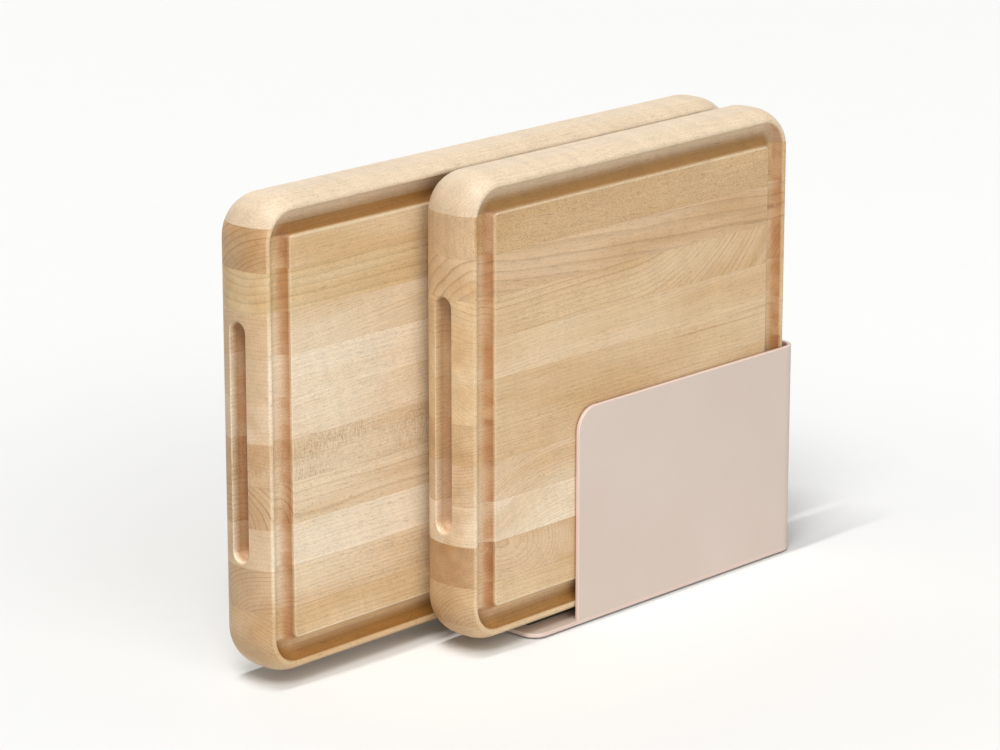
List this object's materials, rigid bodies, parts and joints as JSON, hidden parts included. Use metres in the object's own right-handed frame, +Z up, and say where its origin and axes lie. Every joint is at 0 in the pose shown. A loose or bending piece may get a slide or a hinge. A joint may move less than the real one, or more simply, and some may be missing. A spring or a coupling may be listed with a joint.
{
  "type": "cutting board set in sheet-metal holder",
  "caption": "Thick butcher-block cutting boards with juice grooves and end grips, standing on edge in an open-ended sheet-metal holder.",
  "frame": {"origin": "under the middle of the overall box, on the plane the feet rest on", "axes": "+X along the boards towards the holder's closed end, +Y from the front board to the rear board, +Z up"},
  "size_m": [0.4186, 0.0914, 0.2928],
  "materials": {
    "pale_maple": "oiled edge-grain maple, pale cream staves",
    "light_maple": "oiled edge-grain maple, light tan staves",
    "tan_maple": "oiled edge-grain maple, deeper tan staves",
    "brown_maple": "oiled edge-grain maple, pinkish brown stave",
    "powder_coat": "matt pinkish grey powder coat on steel sheet",
    "dark_rubber": "matt dark rubber"
  },
  "bodies": {
    "holder": {"base_plate": "powder_coat", "wall_wrap": "powder_coat", "divider": "powder_coat", "front_rest_strip": "dark_rubber", "rear_rest_strip": "dark_rubber", "foot_front_left": "dark_rubber", "foot_front_right": "dark_rubber", "foot_back_left": "dark_rubber", "foot_back_right": "dark_rubber"},
    "front_board": {"front_stave_01": "pale_maple", "front_stave_02": "light_maple", "front_stave_03": "brown_maple", "front_stave_04": "pale_maple", "front_stave_05": "pale_maple", "front_stave_06": "light_maple", "front_stave_07": "tan_maple", "front_stave_08": "light_maple", "front_stave_09": "light_maple", "front_stave_10": "tan_maple", "front_stave_11": "tan_maple", "front_stave_12": "pale_maple"},
    "rear_board": {"rear_stave_01": "pale_maple", "rear_stave_02": "light_maple", "rear_stave_03": "light_maple", "rear_stave_04": "pale_maple", "rear_stave_05": "tan_maple", "rear_stave_06": "tan_maple", "rear_stave_07": "light_maple", "rear_stave_08": "pale_maple", "rear_stave_09": "light_maple", "rear_stave_10": "tan_maple", "rear_stave_11": "light_maple", "rear_stave_12": "pale_maple"}
  },
  "joints": [
    {"name": "front_board_slide", "type": "slide", "parent": "holder", "child": "front_board", "axis": [-1, 0, 0], "range_m": [0, 0.26]},
    {"name": "rear_board_slide", "type": "slide", "parent": "holder", "child": "rear_board", "axis": [-1, 0, 0], "range_m": [0, 0.26]}
  ]
}
